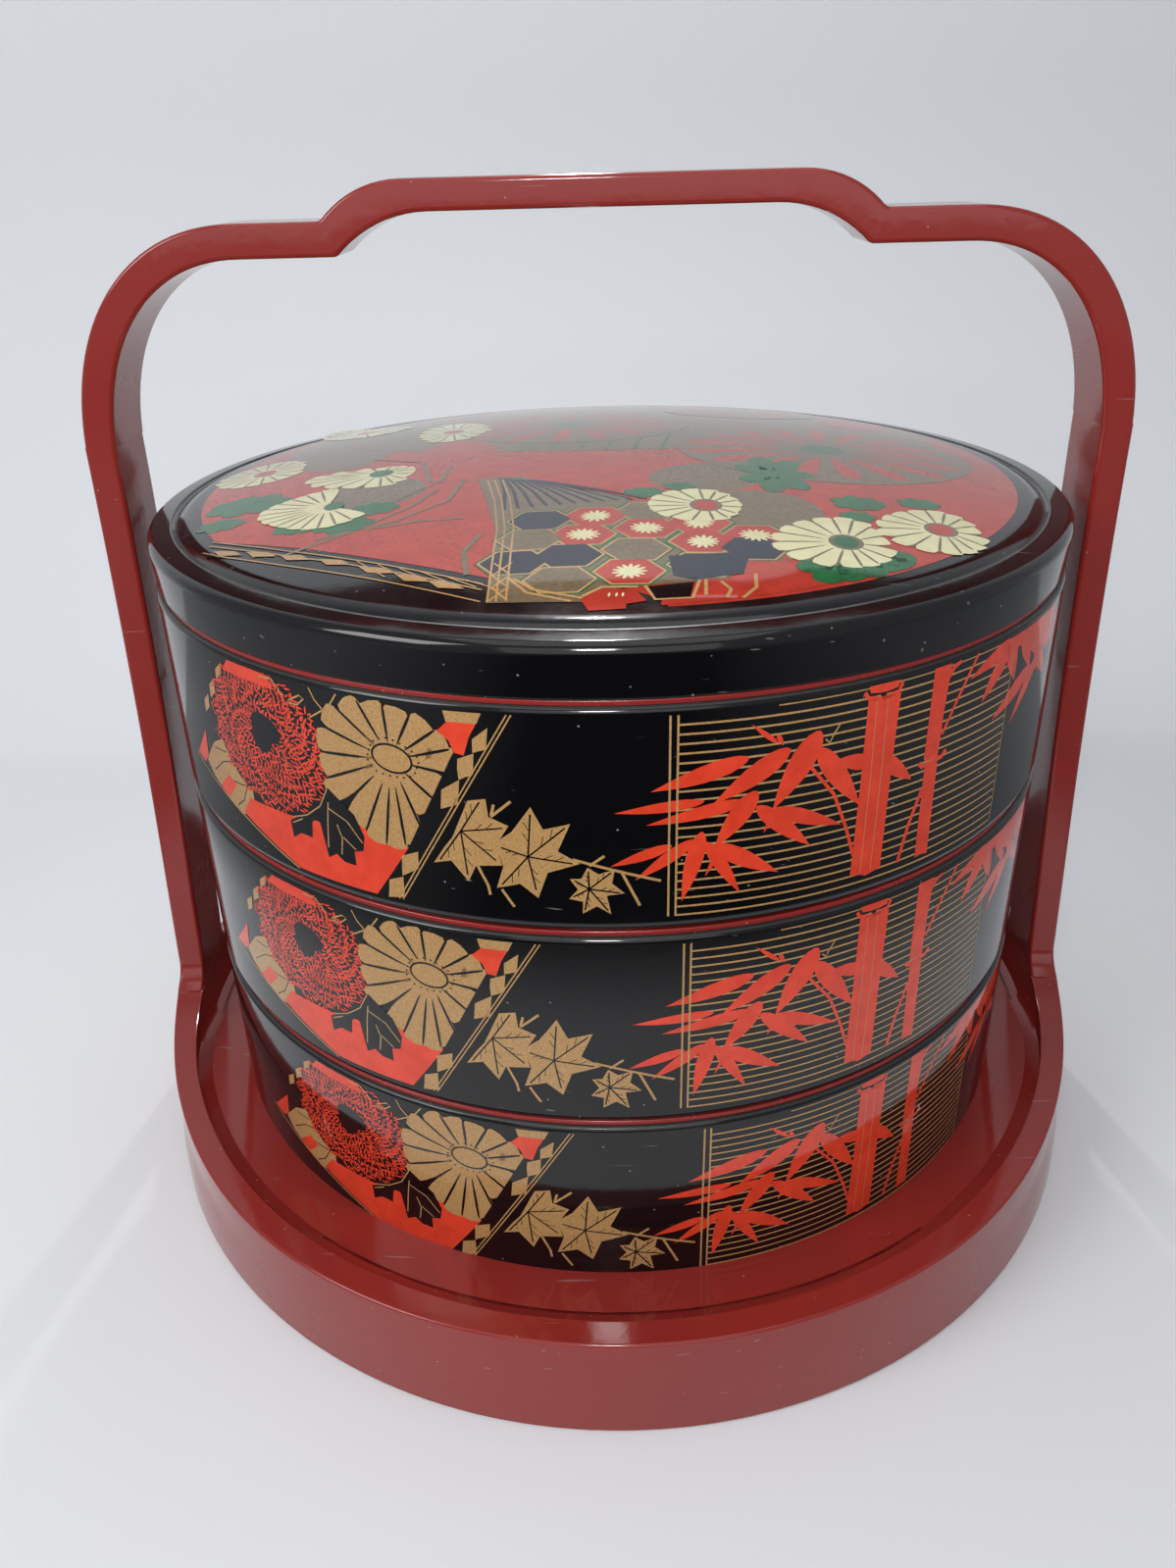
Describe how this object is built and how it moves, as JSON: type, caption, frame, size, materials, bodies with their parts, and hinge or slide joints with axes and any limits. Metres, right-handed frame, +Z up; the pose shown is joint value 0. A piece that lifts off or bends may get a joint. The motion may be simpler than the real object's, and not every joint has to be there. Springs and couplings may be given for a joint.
{
  "type": "stacking lacquer jubako box",
  "caption": "Round stacking lacquer box: lidded tiers with locating rings, standing in a tray whose posts carry a bail handle.",
  "frame": {"origin": "centre of the foot that the tray stands on, on the table plane, which is the bottom centre of the whole box", "axes": "+Z up along the stack's axis, +X along the handle towards the right post, +Y from the front of the box to its back"},
  "size_m": [0.2334, 0.2334, 0.2193],
  "materials": {
    "red_lacquer": "gloss brownish red lacquer",
    "black_lacquer": "gloss black lacquer with vermilion and gold print",
    "vermilion_print": "flat vermilion print under gloss",
    "gold_print": "speckled gold powder print"
  },
  "bodies": {
    "carrier": {"carrier_tray": "red_lacquer", "left_post": "red_lacquer", "right_post": "red_lacquer", "handle_bail": "red_lacquer"},
    "bottom_box": {"bottom_tier": "black_lacquer"},
    "middle_box": {"middle_tier": "black_lacquer"},
    "top_box": {"top_tier": "black_lacquer"},
    "cover": {"lid": "black_lacquer"}
  },
  "joints": [
    {"name": "bottom_tier_lift", "type": "slide", "parent": "carrier", "child": "bottom_box", "axis": [0, 0, 1], "range_m": [0, 0.006]},
    {"name": "middle_tier_lift", "type": "slide", "parent": "bottom_box", "child": "middle_box", "axis": [0, 0, 1], "range_m": [0, 0.007]},
    {"name": "top_tier_lift", "type": "slide", "parent": "middle_box", "child": "top_box", "axis": [0, 0, 1], "range_m": [0, 0.008]},
    {"name": "lid_lift", "type": "slide", "parent": "top_box", "child": "cover", "axis": [0, 0, 1], "range_m": [0, 0.012]}
  ]
}
